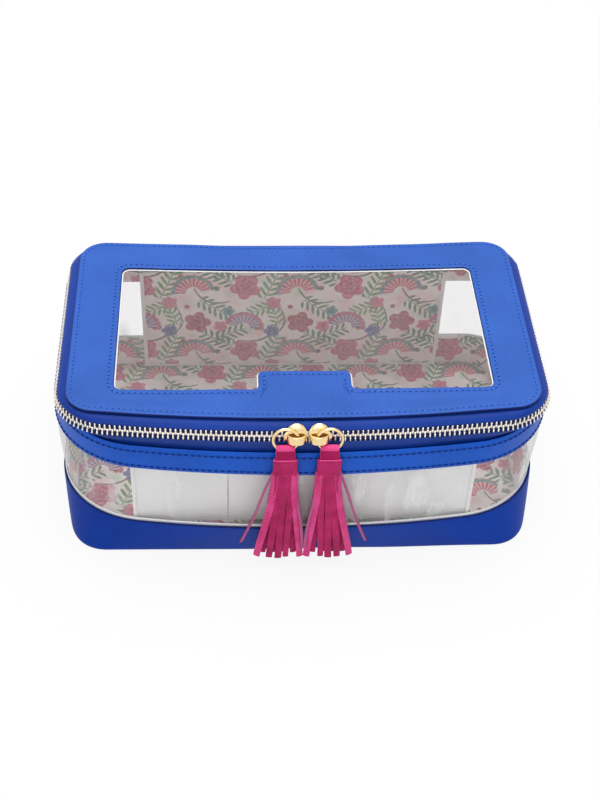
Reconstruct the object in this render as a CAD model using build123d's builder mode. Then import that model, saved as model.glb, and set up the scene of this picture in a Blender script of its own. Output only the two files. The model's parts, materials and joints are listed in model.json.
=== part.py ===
from build123d import *
from math import atan2, cos, degrees, radians, sin, sqrt
import os

# Soft zipped case for game tiles: a blue leather frame round clear plastic walls and a
# clear lid window, a metal zipper on three sides and two tasselled zipper pulls.
# Millimetres. X runs to the right, Y to the back, Z up. The origin is the middle of the
# base, on the surface that the case stands on, and the front looks towards -Y.

# overall form
case_width = 262.0  # at the top edge of the stitched band
case_depth = 155.6
corner_radius = 24.0  # at the back, and in front at the foot and the lid
wall_corner = 50.0  # the soft walls take the front corners more widely
zip_corner = 32.0  # and so does the zipper
base_taper = 3.0  # how far the foot is drawn in on every side
front_bow = 6.0  # how far the soft front swells from the base's top edge upwards
foot_bow = 0.4  # and at the foot

# heights of the bands, from the ground up
base_height = 25.4
clear_height = 43.0
band_height = 17.0
lower_tape_rise = 5.4  # from the band's top edge to the lower row of teeth
upper_tape_rise = 4.4  # from the upper row of teeth to the lid frame

# sheet thicknesses
leather = 1.4
fabric = 0.6
clear_sheet = 0.6
board = 2.0
tape = 0.8
tape_across = 1.1  # the upper tape leans over, so it measures more across
layer_gap = 0.1  # between sheets that are sewn together
seam = 5.0  # how far one sheet runs behind the next at a seam

# zipper, measured across the row of teeth
row_width = 5.86
row_thickness = 2.2
row_gap = 0.8  # between the two rows, where the slider's web runs
zip_inset = 4.25  # middle of the rows, in from the widest outline
zip_lean = 15.0  # degrees that the rows lean in from upright
zip_end = 52.0  # how far back the teeth run
stop_length = 2.6
tape_hem = 5.4  # how far the lower tape runs down behind the band
lid_tape_inset = 9.9  # where the upper tape meets the lid frame

# lid
lid_inset = 9.0
window_width = 195.4
window_depth = 98.6
window_shift = -3.9  # the window's middle lies in front of the case's
window_radius = 4.5
tab_width = 48.0
tab_depth = 13.7
tab_radius = 3.0
window_lap = 6.0  # how far the clear sheet runs under the frame
lining_back = 1.0  # the lining's opening is this much wider than the window

# pockets inside
pocket_width = 181.0
pocket_drop = 2.0  # the pocket ends this far below the zipper's tape
pocket_gap = 0.8  # the pocket lies this far off the base lining

# sliders
slider_length = 11.8
slider_spacing = 0.8  # between the two noses
slider_width = 9.0
slider_tail_width = 7.0
slider_lift = 1.4  # the plates' middle lies this far above the meeting of the rows
plate = 1.1
outer_clearance = 1.1
inner_clearance = 0.6
outer_plate_top = 4.9
inner_plate_top = 2.9
web_thickness = 0.4
web_length = 4.0
crown_width = 4.4
crown_length = 10.4
crown_wall = 1.1
crown_lift = 0.8  # the crown's middle lies this far above the meeting of the rows
crown_side = 1.9  # from the wire's middle to the crown's legs

# pull rings
ring_radius = 6.3  # to the middle of the wire
wire = 1.6
ring_lean = 11.0
ring_lift = 0.55  # and the ring's middle this far
ring_seat = 1.5  # the wire crosses the slider this far from its middle, towards the nose
wire_clearance = 0.35

# tassels
strap_width = 9.6
strap_neck = 6.0
strap_sheet = 1.0
loop_clearance = 0.2
head_width = 12.8
head_thickness = 5.0
head_drop = 2.7  # from the loop round the ring to the tassel's head
head_height = 12.0
head_clearance = 0.55
strip_count = 5
strip_width = 4.4
strip_thickness = 1.1
strip_rows = 2
strip_end = 9.6  # the longest strips end this far above the ground
strip_step = 0.35  # how much shorter a strip gets for each millimetre off the middle
strip_spread = 2.5  # how much wider the fringe is at its ends
fringe_lean = 4.2  # the ends lie this much farther out than the head
strand_width = 1.6  # a thin strand hangs farther out still
strand_reach = 22.6
strand_end = 20.5

# worked out from the sizes above
clear_top = base_height + clear_height
band_top = clear_top + band_height
corner_x = case_width / 2 - corner_radius
corner_y = case_depth / 2 - corner_radius
lean_in = sin(radians(zip_lean))
lean_up = cos(radians(zip_lean))
ring_in = sin(radians(ring_lean))
ring_up = cos(radians(ring_lean))
row_rise = row_width / 2 * lean_up
row_foot = band_top + lower_tape_rise
zip_height = row_foot + row_rise  # where the two rows of teeth meet
row_head = zip_height + row_rise
lid_under = row_head + upper_tape_rise
window_front = window_shift - window_depth / 2
floor_top = leather + board + fabric
tape_foot = band_top - tape_hem
pocket_top = tape_foot - pocket_drop
front_line = -(case_depth / 2 + front_bow)
zip_corner_x = case_width / 2 - zip_corner
arc_less_corner = (zip_corner_x**2 + front_bow**2) / (2 * front_bow)
slider_middle = slider_length / 2 + slider_spacing / 2
whole = 4 * case_width


def wall_inset(height):
    """How far the wall's outer face lies inside the widest outline at a height."""
    return base_taper * (1 - height / band_top)


front_corners = (
    (0, corner_radius),
    (base_height, wall_corner),
    (band_top, wall_corner),
    (row_foot, zip_corner),
    (row_head, zip_corner),
    (lid_under, corner_radius),
    (lid_under + leather, corner_radius),
)


def wall_bow(height):
    """How far the front swells at a height, the same from the base's top edge upwards."""
    return foot_bow + (front_bow - foot_bow) * min(height / base_height, 1)


def front_corner(height):
    """The radius of the widest outline's front corners at a height."""
    for (low, before), (high, after) in zip(front_corners, front_corners[1:]):
        if height <= high:
            return before + (after - before) * (height - low) / (high - low)
    return corner_radius


def case_outline(height, inset, bow):
    """The case seen from above: straight sides and back, round corners, a bowed front."""
    radius = corner_radius - inset
    half = radius * sqrt(0.5)
    front_radius = front_corner(height) - inset
    front_x = case_width / 2 - front_corner(height)
    front_y = case_depth / 2 - front_corner(height)
    side = case_width / 2 - inset
    reach = (front_x**2 + bow**2) / (2 * bow)
    turn = atan2(reach - bow, front_x)
    join = (front_x + front_radius * cos(turn), -front_y - front_radius * sin(turn))
    bend = (front_x + front_radius * cos(turn / 2), -front_y - front_radius * sin(turn / 2))
    with BuildSketch(Plane.XY.offset(height)) as outline:
        with BuildLine():
            Line((-corner_x, corner_y + radius), (corner_x, corner_y + radius))
            ThreePointArc(
                (corner_x, corner_y + radius), (corner_x + half, corner_y + half), (side, corner_y)
            )
            Line((side, corner_y), (side, -front_y))
            ThreePointArc((side, -front_y), bend, join)
            ThreePointArc(join, (0, -front_y - front_radius - bow), (-join[0], join[1]))
            ThreePointArc((-join[0], join[1]), (-bend[0], bend[1]), (-side, -front_y))
            Line((-side, -front_y), (-side, corner_y))
            ThreePointArc(
                (-side, corner_y), (-corner_x - half, corner_y + half), (-corner_x, corner_y + radius)
            )
        make_face()
    return outline.sketch


def ring_wall(low, high, inset_low, inset_high, thickness):
    """A sheet that stands all round the case from one height to another."""
    steps = [low] + [height for height, _ in front_corners if low < height < high] + [high]
    with BuildPart() as wall:
        for extra, mode in ((0, Mode.ADD), (thickness, Mode.SUBTRACT)):
            outlines = []
            for height in steps:
                inset = inset_low + (inset_high - inset_low) * (height - low) / (high - low)
                outlines.append(case_outline(height, inset + extra, wall_bow(height)))
            loft(sections=outlines, ruled=True, mode=mode)
    return wall.part


def side_wall(low, high, behind, thickness):
    """A sheet of the case's side, some way behind the outer face."""
    return ring_wall(low, high, wall_inset(low) + behind, wall_inset(high) + behind, thickness)


def flat_sheet(bottom, inset, bow, thickness):
    """A flat sheet with the case's outline."""
    with BuildPart() as sheet:
        extrude(case_outline(bottom + thickness, inset, bow), amount=-thickness)
    return sheet.part


def keep(y_low, y_high):
    """Keeps what lies between two distances from front to back."""
    with Locations((0, (y_low + y_high) / 2, zip_height)):
        Box(whole, y_high - y_low, whole, mode=Mode.INTERSECT)


def row_inset(height):
    """Middle of the zipper's rows at a height."""
    return zip_inset + (height - zip_height) * lean_in / lean_up


def zip_row(low, high):
    """A row of zipper teeth, closed up into one strip."""
    half = row_thickness / lean_up / 2
    return ring_wall(low, high, row_inset(low) - half, row_inset(high) - half, 2 * half)


def window_opening(height, grow):
    """The lid window, with the leather tab that stands into it at the front."""
    tab_side = tab_width - 2 * grow
    tab_reach = tab_depth + tab_radius
    edge = window_front - grow
    with BuildSketch(Plane.XY.offset(height)) as opening:
        with Locations((0, window_shift)):
            RectangleRounded(window_width + 2 * grow, window_depth + 2 * grow, window_radius)
        with Locations((0, edge + tab_depth - tab_reach / 2)):
            RectangleRounded(tab_side, tab_reach, tab_radius, mode=Mode.SUBTRACT)
        beside = opening.vertices().filter_by_position(Axis.X, -tab_width, tab_width)
        fillet(beside.filter_by_position(Axis.Y, edge - layer_gap, edge + layer_gap), tab_radius)
    return opening.sketch


def finish(part, name):
    """Names a finished piece and writes it."""
    part.label = name
    export_step(part, f"parts/{name}.step")


os.makedirs("parts", exist_ok=True)

# base: outer leather, stiffening board and printed lining
with BuildPart() as base_wall:
    add(side_wall(0, base_height, 0, leather))
finish(base_wall.part, "base_wall")

with BuildPart() as base_panel:
    add(flat_sheet(0, base_taper + leather + layer_gap, foot_bow, leather))
finish(base_panel.part, "base_panel")

lining_behind = leather + clear_sheet + 2 * layer_gap
floor_inset = base_taper + lining_behind + fabric + layer_gap

with BuildPart() as base_board:
    add(flat_sheet(leather, floor_inset, foot_bow, board))
finish(base_board.part, "base_board")

with BuildPart() as floor_lining:
    add(flat_sheet(leather + board, floor_inset, foot_bow, fabric))
finish(floor_lining.part, "floor_lining")

with BuildPart() as base_wall_lining:
    add(side_wall(leather, base_height, lining_behind, fabric))
finish(base_wall_lining.part, "base_wall_lining")

# clear wall, sewn in behind the base at its foot and behind the band at its top
with BuildPart() as clear_wall:
    add(side_wall(base_height - seam, clear_top + seam, leather + layer_gap, clear_sheet))
finish(clear_wall.part, "clear_wall")

# stitched band, and its lining up to the foot of the zipper's tape
with BuildPart() as upper_band:
    add(side_wall(clear_top, band_top, 0, leather))
finish(upper_band.part, "upper_band")

with BuildPart() as upper_band_lining:
    add(side_wall(clear_top, tape_foot, leather + tape + 3 * layer_gap + clear_sheet, fabric))
finish(upper_band_lining.part, "upper_band_lining")

# printed slip pockets along the front and the back, with their feet on the floor
pocket_line = case_depth / 2 - wall_inset(0) - lining_behind - fabric - pocket_gap
for name, side in (("front_pocket", -1), ("back_pocket", 1)):
    with BuildPart() as pocket:
        with BuildSketch(Plane.XY.offset(floor_top)):
            with Locations((0, side * (pocket_line - fabric / 2))):
                Rectangle(pocket_width, fabric)
        extrude(amount=pocket_top - floor_top)
    finish(pocket.part, name)

# lower half of the zipper, which stands on the case
tape_foot_inset = wall_inset(tape_foot) + leather + layer_gap
cut_low = zip_height - row_gap / 2
cut_high = zip_height + row_gap / 2

with BuildPart() as lower_zip_tape:
    add(ring_wall(tape_foot, row_foot, tape_foot_inset, row_inset(row_foot) - tape / 2, tape))
    keep(-whole, zip_end + stop_length)
finish(lower_zip_tape.part, "lower_zip_tape")

with BuildPart() as lower_zip_teeth:
    add(zip_row(row_foot, cut_low))
    keep(-whole, zip_end)
finish(lower_zip_teeth.part, "lower_zip_teeth")

for name, half in (("left", Keep.BOTTOM), ("right", Keep.TOP)):
    with BuildPart() as lower_zip_stop:
        add(zip_row(row_foot, cut_low))
        keep(zip_end, zip_end + stop_length)
        split(bisect_by=Plane.YZ, keep=half)
    finish(lower_zip_stop.part, f"lower_zip_stop_{name}")

# leather strip across the back: its lower part stands on the case and folds at the hinge
hinge_face = zip_inset - leather / 2 / lean_up
with BuildPart() as back_hinge_strip:
    add(ring_wall(tape_foot, cut_low, tape_foot_inset, hinge_face, leather))
    keep(zip_end + stop_length, whole)
finish(back_hinge_strip.part, "back_hinge_strip")

# lid: leather frame, clear window, printed lining and the upper half of the zipper
with BuildPart() as lid_frame:
    add(flat_sheet(lid_under, lid_inset, front_bow, leather))
    extrude(window_opening(lid_under, 0), amount=leather, mode=Mode.SUBTRACT)
finish(lid_frame.part, "lid_frame")

with BuildPart() as lid_window:
    with BuildSketch(Plane.XY.offset(lid_under - clear_sheet)):
        with Locations((0, window_shift)):
            RectangleRounded(
                window_width + 2 * window_lap, window_depth + 2 * window_lap, window_lap
            )
    extrude(amount=clear_sheet)
finish(lid_window.part, "lid_window")

lid_lining_foot = lid_under - clear_sheet - fabric
with BuildPart() as lid_lining:
    add(flat_sheet(lid_lining_foot, lid_tape_inset + 2 * tape, front_bow, fabric))
    extrude(window_opening(lid_lining_foot, lining_back), amount=fabric, mode=Mode.SUBTRACT)
finish(lid_lining.part, "lid_lining")

upper_tape_foot = row_inset(row_head) - tape / 2
with BuildPart() as upper_zip_tape:
    add(ring_wall(row_head, lid_under, upper_tape_foot, lid_tape_inset, tape_across))
    keep(-whole, zip_end + stop_length)
finish(upper_zip_tape.part, "upper_zip_tape")

with BuildPart() as upper_zip_teeth:
    add(zip_row(cut_high, row_head))
    keep(-whole, zip_end)
finish(upper_zip_teeth.part, "upper_zip_teeth")

for name, half in (("left", Keep.BOTTOM), ("right", Keep.TOP)):
    with BuildPart() as upper_zip_stop:
        add(zip_row(cut_high, row_head))
        keep(zip_end, zip_end + stop_length)
        split(bisect_by=Plane.YZ, keep=half)
    finish(upper_zip_stop.part, f"upper_zip_stop_{name}")

with BuildPart() as lid_back_band:
    add(ring_wall(cut_high, lid_under, hinge_face + layer_gap, lid_tape_inset, leather))
    keep(zip_end + stop_length, whole)
finish(lid_back_band.part, "lid_back_band")

# sliders: each has an outer and an inner plate, a thin web between the rows of teeth and
# a crown that the ring's wire runs under; the outer plate's upper half stands clear of the
# lid's row, so that the lid can lift past it
row_face = row_thickness / 2
half_width = slider_width / 2
nose = slider_length / 2
outer_low = row_face + outer_clearance
outer_top = outer_low + plate
inner_top = -row_face - inner_clearance
relief = outer_low + outer_plate_top * lean_in / lean_up
plate_foot = slider_lift - half_width
plate_head = slider_lift + half_width
crown_reach = crown_width / 2 + crown_lift - ring_lift
flip_rise = ring_radius - sqrt(ring_radius**2 - crown_reach**2)
wire_slant = (ring_lift - plate_foot) * sin(radians(zip_lean - ring_lean))
wire_seat = outer_top + wire_clearance + wire / 2 + wire_slant
crown_hollow = wire_seat + wire / 2 + flip_rise + 2 * wire_clearance
crown_top = crown_hollow + crown_wall
zip_line = front_line + zip_inset
slider_place = (-slider_middle, zip_line, zip_height)
outward = (0, -lean_up, lean_in)
slider_face = Plane(slider_place, x_dir=(1, 0, 0), z_dir=outward)
slider_section = Plane(slider_place, x_dir=outward, z_dir=(-1, 0, 0))
slider_side = Plane(slider_place, x_dir=(1, 0, 0), z_dir=(0, -lean_in, -lean_up))


def slider_outline(height, top):
    """The left slider seen from the front, its wide nose on the right."""
    with BuildSketch(slider_face.offset(height)) as outline:
        with BuildLine():
            Polyline(
                (-nose, slider_lift - slider_tail_width / 2),
                (0, plate_foot),
                (nose - plate, plate_foot),
                (nose, plate_foot + plate),
                (nose, plate_head - plate),
                (nose - plate, plate_head),
                (0, plate_head),
                (-nose, slider_lift + slider_tail_width / 2),
                close=True,
            )
        make_face()
        with Locations((0, (top + plate_foot) / 2)):
            Rectangle(slider_length, top - plate_foot, mode=Mode.INTERSECT)
    return outline.sketch


with BuildPart() as slider_left:
    extrude(slider_outline(outer_low, outer_plate_top), amount=crown_top)
    with BuildSketch(slider_section):
        with BuildLine():
            Polyline(
                (outer_low, -half_width),
                (outer_top, -half_width),
                (outer_top, 0),
                (relief + plate / 2, outer_plate_top),
                (relief, outer_plate_top),
                (outer_low, 0),
                close=True,
            )
        make_face()
    extrude(amount=slider_length, both=True, mode=Mode.INTERSECT)
    extrude(slider_outline(inner_top, inner_plate_top), amount=-plate)
    with Locations((nose - plate - web_length / 2 - slider_middle, zip_line, zip_height)):
        Box(web_length, 2 * outer_low + plate, web_thickness)
    with BuildSketch(slider_side.offset(-crown_lift)):
        with BuildLine():
            Polyline(
                (-crown_length / 2, outer_top - layer_gap / 2),
                (-crown_length / 2, outer_top),
                (-crown_length / 3, wire_seat),
                (0, crown_top),
                (crown_length / 2 - plate, crown_top),
                (crown_length / 2, crown_top - plate),
                (crown_length / 2, outer_top - layer_gap / 2),
                close=True,
            )
        make_face()
        with Locations((ring_seat, (outer_top + crown_hollow) / 2)):
            Rectangle(2 * crown_side, crown_hollow - outer_top, mode=Mode.SUBTRACT)
    extrude(amount=crown_width / 2, both=True)

# pull rings, which hang through the crown and lean a little towards the case
ring_y = front_line + zip_inset - wire_seat * lean_up + ring_lift * lean_in
ring_z = zip_height + ring_lift * lean_up + wire_seat * lean_in
tassel_x = slider_middle - ring_seat + ring_radius
ring_centre = (-tassel_x, ring_y, ring_z)

with BuildPart() as pull_ring_left:
    with BuildSketch(Plane(ring_centre, x_dir=(1, 0, 0), z_dir=(0, ring_in, ring_up))):
        with Locations((ring_radius, 0)):
            Circle(wire / 2)
    revolve(axis=Axis(ring_centre, (0, -ring_up, ring_in)))

# straps: a loop round the ring's wire, and two layers down to the tassel's head
neck_rise = ring_radius - sqrt(ring_radius**2 - (strap_neck / 2) ** 2)
loop_y = ring_y - (ring_radius - neck_rise / 2) * ring_in
loop_z = ring_z - (ring_radius - neck_rise / 2) * ring_up
loop_radius = wire / 2 + neck_rise / 2 + loop_clearance
leg_top = loop_z - loop_radius - layer_gap
head_top = leg_top - head_drop
head_y = front_line - head_clearance - head_thickness / 2
head_foot = head_top - head_height

with BuildPart() as tassel_strap_left:
    with BuildSketch(Plane.YZ.offset(-tassel_x)):
        with Locations((loop_y, loop_z)):
            Circle(loop_radius + strap_sheet)
            Circle(loop_radius, mode=Mode.SUBTRACT)
    extrude(amount=strap_neck / 2, both=True)
    with BuildSketch(Plane.YZ.offset(-tassel_x)):
        with BuildLine():
            Polyline(
                (loop_y - strap_sheet, leg_top),
                (loop_y + strap_sheet, leg_top),
                (head_y + strap_sheet, head_top),
                (head_y - strap_sheet, head_top),
                close=True,
            )
        make_face()
    extrude(amount=strap_width / 2, both=True)

# tassels: a rolled leather head with a fringe of flat strips below it
strip_pitch = (head_width - strip_width) / (strip_count - 1)
row_pitch = head_thickness / strip_rows
with BuildPart() as tassel_left:
    with BuildSketch(Plane.XY.offset(head_foot)):
        with Locations((-tassel_x, head_y)):
            RectangleRounded(head_width, head_thickness, head_thickness / 2 - layer_gap)
    extrude(amount=head_height)
    for row in range(strip_rows):
        across = (row - (strip_rows - 1) / 2) * row_pitch
        for index in range(strip_count - row):
            along = (index - (strip_count - row - 1) / 2) * strip_pitch
            with BuildSketch(Plane.XY.offset(head_foot + strip_thickness)):
                with Locations((along - tassel_x, head_y + across)):
                    Rectangle(strip_width, strip_thickness)
            with BuildSketch(Plane.XY.offset(strip_end + strip_step * abs(along) + row)):
                with Locations((along * strip_spread - fringe_lean - tassel_x, head_y + across)):
                    Rectangle(strip_width, strip_thickness)
            loft(ruled=True)
    with BuildSketch(Plane.XY.offset(head_foot + strip_thickness)):
        with Locations(((strand_width - head_width) / 2 - tassel_x, head_y)):
            Rectangle(strand_width, strip_thickness)
    with BuildSketch(Plane.XY.offset(strand_end)):
        with Locations((-strand_reach - tassel_x, head_y)):
            Rectangle(strand_width, strip_thickness)
    loft(ruled=True)

for name, left in (
    ("slider", slider_left),
    ("pull_ring", pull_ring_left),
    ("tassel_strap", tassel_strap_left),
    ("tassel", tassel_left),
):
    finish(left.part, f"{name}_left")
    with BuildPart() as right:
        mirror(left.part, about=Plane.YZ)
    finish(right.part, f"{name}_right")

# where the joints lie; a slider's straight run ends two slider lengths before the corner
slider_travel = zip_corner_x - slider_middle - 2 * slider_length
arc_radius = arc_less_corner + zip_corner - zip_inset
reach = slider_middle + slider_travel
drop = sqrt(arc_radius**2 - slider_middle**2) - sqrt(arc_radius**2 - reach**2)
print("lid hinge y, z", case_depth / 2 - hinge_face, zip_height)
print("slider travel, degrees off X", slider_travel, degrees(atan2(drop, slider_travel)))
print("ring hinge x, y, z", slider_middle - ring_seat, ring_y, ring_z)
print("tassel hinge x, y, z", tassel_x, loop_y, loop_z)
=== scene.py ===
import json
from math import atan, copysign, cos, hypot, pi, radians, sin

import bmesh
import bpy
from mathutils import Matrix, Vector, noise

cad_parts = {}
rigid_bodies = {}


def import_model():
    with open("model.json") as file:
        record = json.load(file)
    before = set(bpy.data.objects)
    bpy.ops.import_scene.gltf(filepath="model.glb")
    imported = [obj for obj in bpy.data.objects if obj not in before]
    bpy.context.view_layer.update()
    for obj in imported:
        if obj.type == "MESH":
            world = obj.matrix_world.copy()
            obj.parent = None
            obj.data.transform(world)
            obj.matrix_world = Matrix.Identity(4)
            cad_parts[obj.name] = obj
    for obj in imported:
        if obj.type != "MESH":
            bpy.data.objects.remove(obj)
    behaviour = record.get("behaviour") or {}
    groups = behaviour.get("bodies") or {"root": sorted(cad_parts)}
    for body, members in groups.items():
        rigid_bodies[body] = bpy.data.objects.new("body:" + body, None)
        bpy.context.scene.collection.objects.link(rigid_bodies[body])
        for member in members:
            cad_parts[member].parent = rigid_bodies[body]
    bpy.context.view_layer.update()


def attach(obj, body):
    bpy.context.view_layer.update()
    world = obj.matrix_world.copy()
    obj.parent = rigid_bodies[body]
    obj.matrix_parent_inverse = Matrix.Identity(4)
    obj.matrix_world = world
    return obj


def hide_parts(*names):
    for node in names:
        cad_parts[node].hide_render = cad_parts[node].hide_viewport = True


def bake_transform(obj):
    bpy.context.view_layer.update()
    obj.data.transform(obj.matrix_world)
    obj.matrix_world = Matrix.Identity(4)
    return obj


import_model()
mm = 0.001
print("frame loaded")


def turnedTo(x, y, z, point):
    # a place whose own axes run along x, y and z
    turned = Matrix((x, y, z)).transposed().to_4x4()
    turned.translation = point
    return turned


# camera: where the photograph was taken from
cameraPlace = {
    "point": (-0.04118, -0.5585, 0.58298),
    "yaw": 4.37,
    "pitch": 44.02,
    "roll": 2.57,
    "lens": 61.52,
}
yaw, pitch, roll = (radians(cameraPlace[turn]) for turn in ("yaw", "pitch", "roll"))
forward = Vector((sin(yaw) * cos(pitch), cos(yaw) * cos(pitch), -sin(pitch)))
level = Vector((cos(yaw), -sin(yaw), 0))
upward = level.cross(forward)
right = level * cos(roll) + upward * sin(roll)
top = upward * cos(roll) - level * sin(roll)
camera = bpy.data.objects.new("camera", bpy.data.cameras.new("camera"))
camera.data.lens = cameraPlace["lens"]
camera.matrix_world = turnedTo(right, top, -forward, cameraPlace["point"])
bpy.context.collection.objects.link(camera)
bpy.context.scene.camera = camera
bpy.context.scene.view_settings.view_transform = "Standard"


# materials: a channel is a value or a colour on its way through the nodes
def tint(red, green, blue):
    levels = [c / 255 for c in (red, green, blue)]
    return tuple(c / 12.92 if c < 0.04045 else ((c + 0.055) / 1.055) ** 2.4 for c in levels) + (1,)


class Channel:
    def __init__(self, tree, socket=None):
        self.tree = tree
        self.socket = socket

    def node(self, kind, settings=None, sockets=None, output=0):
        made = self.tree.nodes.new(kind)
        for key, value in (settings or {}).items():
            setattr(made, key, value)
        for key, value in (sockets or {}).items():
            if isinstance(value, Channel):
                self.tree.links.new(value.socket, made.inputs[key])
            else:
                made.inputs[key].default_value = value
        return Channel(self.tree, made.outputs[output])

    def output(self, number):
        # another output of the same node
        return Channel(self.tree, self.socket.node.outputs[number])

    def maths(self, operation, *values, clamp=False):
        settings = {"operation": operation, "use_clamp": clamp}
        return self.node("ShaderNodeMath", settings, dict(enumerate(values)))

    def vector(self, operation, *values, output=0):
        settings = {"operation": operation}
        return self.node("ShaderNodeVectorMath", settings, dict(enumerate(values)), output)

    def __add__(self, other):
        return self.maths("ADD", self, other)

    def __sub__(self, other):
        return self.maths("SUBTRACT", self, other)

    def __mul__(self, other):
        return self.maths("MULTIPLY", self, other)

    def __pow__(self, other):
        return self.maths("POWER", self, other)

    def __rsub__(self, other):
        return self.maths("SUBTRACT", other, self)

    def __abs__(self):
        return self.maths("ABSOLUTE", self)

    def clamp(self):
        return self.maths("ADD", self, 0.0, clamp=True)

    def wave(self):
        return self.maths("SINE", self)

    def mix(self, first, second):
        return self.node("ShaderNodeMix", {"data_type": "RGBA"}, {0: self, 6: first, 7: second}, 2)

    def noise(self, vector, scale, detail=2.0):
        sockets = {"Vector": vector, "Scale": scale, "Detail": detail}
        return self.node("ShaderNodeTexNoise", None, sockets)

    def cells(self, vector, scale):
        return self.node("ShaderNodeTexVoronoi", None, {"Vector": vector, "Scale": scale})

    def bump(self, height, distance, strength):
        sockets = {"Height": height, "Distance": distance, "Strength": strength}
        return self.node("ShaderNodeBump", None, sockets)

    def coordinates(self, kind):
        return self.node("ShaderNodeTexCoord", output={"Object": 3, "UV": 2}[kind])


def newFinish(name, **sockets):
    material = bpy.data.materials.new(name)
    material.use_nodes = True
    shader = material.node_tree.nodes["Principled BSDF"]
    for socket, value in sockets.items():
        shader.inputs[socket.replace("_", " ")].default_value = value
    return material, Channel(material.node_tree), shader


def feed(channel, shader, socket):
    channel.tree.links.new(channel.socket, shader.inputs[socket])


# leathers: colour, darker colour, roughness and shine
leatherTones = {
    "lidLeather": ((46, 100, 198), (26, 78, 164), 0.42, 0.27),
    "bandLeather": ((8, 98, 218), (0, 74, 180), 0.4, 0.2),
    "baseLeather": ((4, 66, 178), (0, 46, 140), 0.46, 0.12),
    "tapeLeather": ((14, 60, 152), (6, 44, 122), 0.46, 0.27),
    "rimLeather": ((12, 62, 160), (4, 46, 134), 0.46, 0.2),
    # dark edges: partly the leather's edge paint, partly painted shade along and under the edges
    "edgePaint": ((8, 34, 108), (2, 20, 78), 0.5, 0.15),
}
leatherGrain = {"patchScale": 28, "grainScale": 900, "poreScale": 1500, "depth": 0.00016}


def leather(name, tone, dark, rough, shine):
    material, c, shader = newFinish(name, Specular_IOR_Level=shine)
    spot = c.coordinates("Object")
    patches = c.noise(spot, leatherGrain["patchScale"], 3)
    grain = c.noise(spot, leatherGrain["grainScale"], 3)
    pores = c.cells(spot, leatherGrain["poreScale"])
    shade = (patches * 1.3 + grain * 0.9 - 0.65).clamp()
    feed(shade.mix(tint(*dark), tint(*tone)), shader, "Base Color")
    feed(patches * 0.12 + grain * 0.1 + (rough - 0.1), shader, "Roughness")
    feed(c.bump(pores * 0.6 + grain, leatherGrain["depth"], 0.5), shader, "Normal")
    return material


# metals: colour, brighter colour, roughness
metalTones = {
    "paleGold": ((232, 200, 140), (250, 230, 186), 0.2),
    "toothGold": ((160, 108, 52), (210, 166, 104), 0.3),
    # the teeth's tails: near white, a painted highlight on the gold teeth
    "toothTail": ((214, 208, 198), (248, 244, 238), 0.26),
}


def metal(name, tone, bright, rough):
    material, c, shader = newFinish(name, Metallic=1.0)
    wear = c.noise(c.coordinates("Object"), 700, 3)
    feed(wear.mix(tint(*tone), tint(*bright)), shader, "Base Color")
    feed(wear * 0.14 + (rough - 0.07), shader, "Roughness")
    feed(c.bump(wear, 0.00005, 0.15), shader, "Normal")
    return material


# the zip's cloth, a fine square weave: colour, darker colour and fineness
weaveTones = {"zipCloth": ((16, 38, 100), (8, 20, 62), 9000)}


def woven(name, tone, dark, fineness):
    material, c, shader = newFinish(name, Roughness=0.75, Specular_IOR_Level=0.25)
    axes = c.node("ShaderNodeSeparateXYZ", None, {0: c.coordinates("UV")})
    weave = (axes * fineness).wave() * (axes.output(1) * fineness).wave() * 0.5 + 0.5
    feed(weave.mix(tint(*dark), tint(*tone)), shader, "Base Color")
    feed(c.bump(weave, 0.0002, 0.5), shader, "Normal")
    return material


# embossed leathers: colour, dark colour, the pale colour painted on the ridges' crests as highlight, and
# how strong the slanting ridges are
pinkTones = {
    "pinkLeather": ((200, 0, 92), (118, 0, 50), (244, 66, 152), 1.0),
    # a lighter copy of pinkLeather for the outer strips: a painted highlight
    "palePink": ((240, 50, 136), (180, 6, 86), (255, 132, 200), 0.7),
    "strapPink": ((188, 0, 86), (112, 0, 48), (226, 50, 136), 0.45),
    # a lighter pink for the strap's fold: a painted highlight
    "foldPink": ((250, 70, 148), (206, 20, 104), (255, 140, 204), 0.3),
}
ridgeForm = {"way": (0.75, 0.1, -0.66), "fineness": 6600, "depth": 0.00018}


def embossed(name, tone, dark, pale, hatch):
    material, c, shader = newFinish(name, Specular_IOR_Level=0.14)
    spot = c.coordinates("Object")
    ridged = c.vector("DOT_PRODUCT", spot, ridgeForm["way"], output=1)
    blur = c.noise(spot, 500, 2)
    ridges = (ridged * ridgeForm["fineness"] + blur * 3).wave() * (0.5 * hatch) + 0.5
    patches = c.noise(spot, 110, 2)
    # painted shade: the ridges' hollows are darker, among random patches of tone
    base = (patches * 0.9 + ridges * 0.8 - 0.4).clamp().mix(tint(*dark), tint(*tone))
    # painted highlight: the ridges' crests take the pale colour, in random patches
    crestHighlightMask = (ridges * ridges * (patches * 1.4 - 0.1)).clamp()
    feed(crestHighlightMask.mix(base, tint(*pale)), shader, "Base Color")
    feed(blur * 0.2 + 0.32, shader, "Roughness")
    feed(c.bump(ridges, ridgeForm["depth"], 0.6), shader, "Normal")
    return material


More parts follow.
